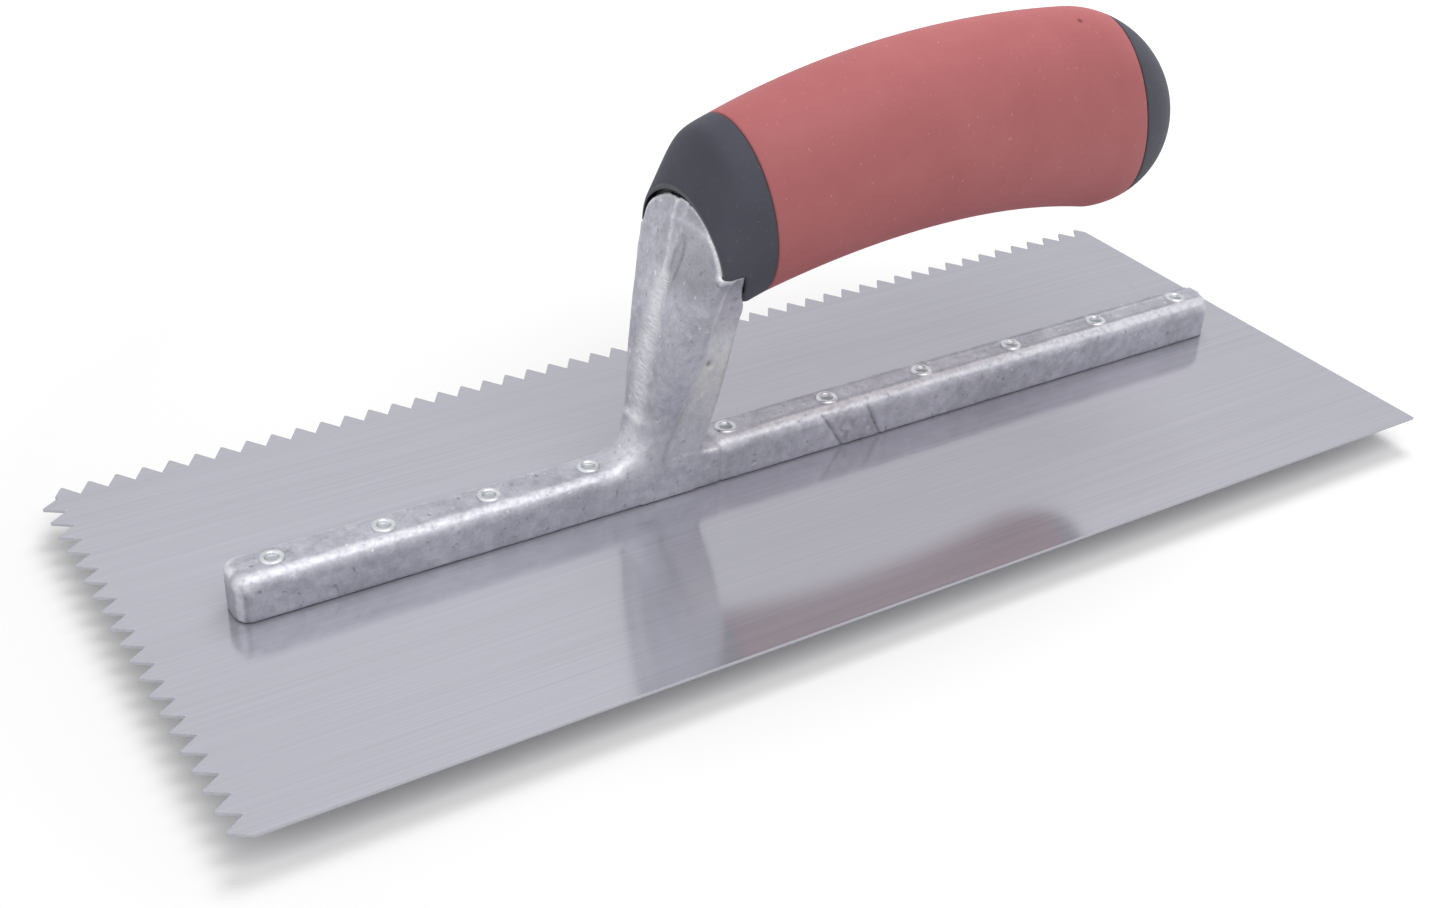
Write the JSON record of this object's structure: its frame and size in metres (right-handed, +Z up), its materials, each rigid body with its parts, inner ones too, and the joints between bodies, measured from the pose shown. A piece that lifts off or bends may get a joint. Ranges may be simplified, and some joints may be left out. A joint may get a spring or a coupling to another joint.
{
  "type": "notched trowel",
  "caption": "Notched trowel: flat steel blade with V-notches on one long edge and one end, riveted under a cast aluminium mounting that carries a curved soft-grip handle.",
  "frame": {"origin": "middle of the blade's underside", "axes": "+X along the blade from the notched end to the plain end, +Y across it towards the notched long edge, +Z up to the handle"},
  "size_m": [0.2794, 0.1142, 0.0899],
  "materials": {
    "blade_steel": "brushed along the length",
    "cast_aluminium": "as cast, tumbled, ground along the parting line",
    "rivet_steel": "bright zinc plate",
    "dark_soft": "matte",
    "red_soft": "matte",
    "core_plastic": "plain moulded",
    "plated_steel": "bright zinc plate"
  },
  "bodies": {
    "root": {"blade": "blade_steel", "mounting": "cast_aluminium", "handle_core": "core_plastic", "front_collar": "dark_soft", "grip_sleeve": "red_soft", "end_cap": "dark_soft", "handle_screw": "plated_steel", "screw_washer": "plated_steel", "rivet_1": "rivet_steel", "rivet_2": "rivet_steel", "rivet_3": "rivet_steel", "rivet_4": "rivet_steel", "rivet_5": "rivet_steel", "rivet_6": "rivet_steel", "rivet_7": "rivet_steel", "rivet_8": "rivet_steel", "rivet_9": "rivet_steel", "rivet_10": "rivet_steel"}
  },
  "joints": []
}
